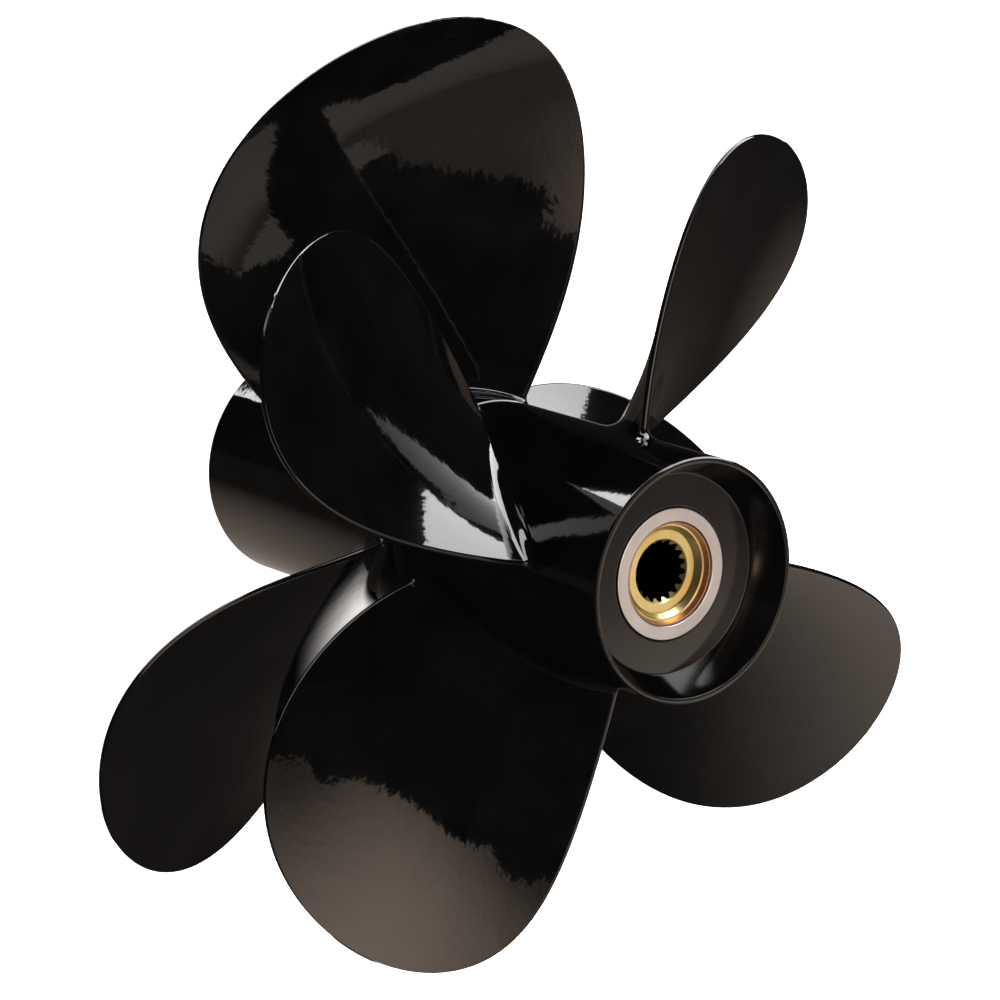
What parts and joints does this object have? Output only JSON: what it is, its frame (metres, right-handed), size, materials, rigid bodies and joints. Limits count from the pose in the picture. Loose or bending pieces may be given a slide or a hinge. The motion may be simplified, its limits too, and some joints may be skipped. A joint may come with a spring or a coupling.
{
  "type": "contra-rotating boat propeller pair",
  "caption": "Coaxial pair of gloss black boat propellers, a right-handed rear one behind a left-handed front one, with splined hubs.",
  "frame": {"origin": "on the shaft axis, in the plane of the front propeller's forward end, on which the pair stands", "axes": "+Z aft along the shaft axis, up as stored; +Y is the way front_blade_1's root points; +X completes the right-handed set"},
  "size_m": [0.3815, 0.381, 0.2713],
  "materials": {
    "gloss_black_paint": "deep gloss black paint on cast aluminium",
    "pale_plated_ring": "pale zinc plate, satin",
    "yellow_plated_steel": "yellow chromate plate, satin"
  },
  "bodies": {
    "front_propeller": {"front_barrel": "gloss_black_paint", "front_hub_core": "gloss_black_paint", "front_blade_1": "gloss_black_paint", "front_blade_2": "gloss_black_paint", "front_blade_3": "gloss_black_paint", "front_flange_ring": "pale_plated_ring", "front_seat_ring": "yellow_plated_steel", "front_splined_sleeve": "yellow_plated_steel"},
    "rear_propeller": {"rear_barrel": "gloss_black_paint", "rear_hub_core": "gloss_black_paint", "rear_blade_1": "gloss_black_paint", "rear_blade_2": "gloss_black_paint", "rear_blade_3": "gloss_black_paint", "rear_blade_4": "gloss_black_paint", "rear_flange_ring": "pale_plated_ring", "rear_seat_ring": "yellow_plated_steel", "rear_splined_sleeve": "yellow_plated_steel"}
  },
  "joints": [
    {"name": "rear_spin", "type": "hinge", "parent": "front_propeller", "child": "rear_propeller", "pos_m": [0, 0, 0.14], "axis": [0, 0, 1], "continuous": true}
  ]
}
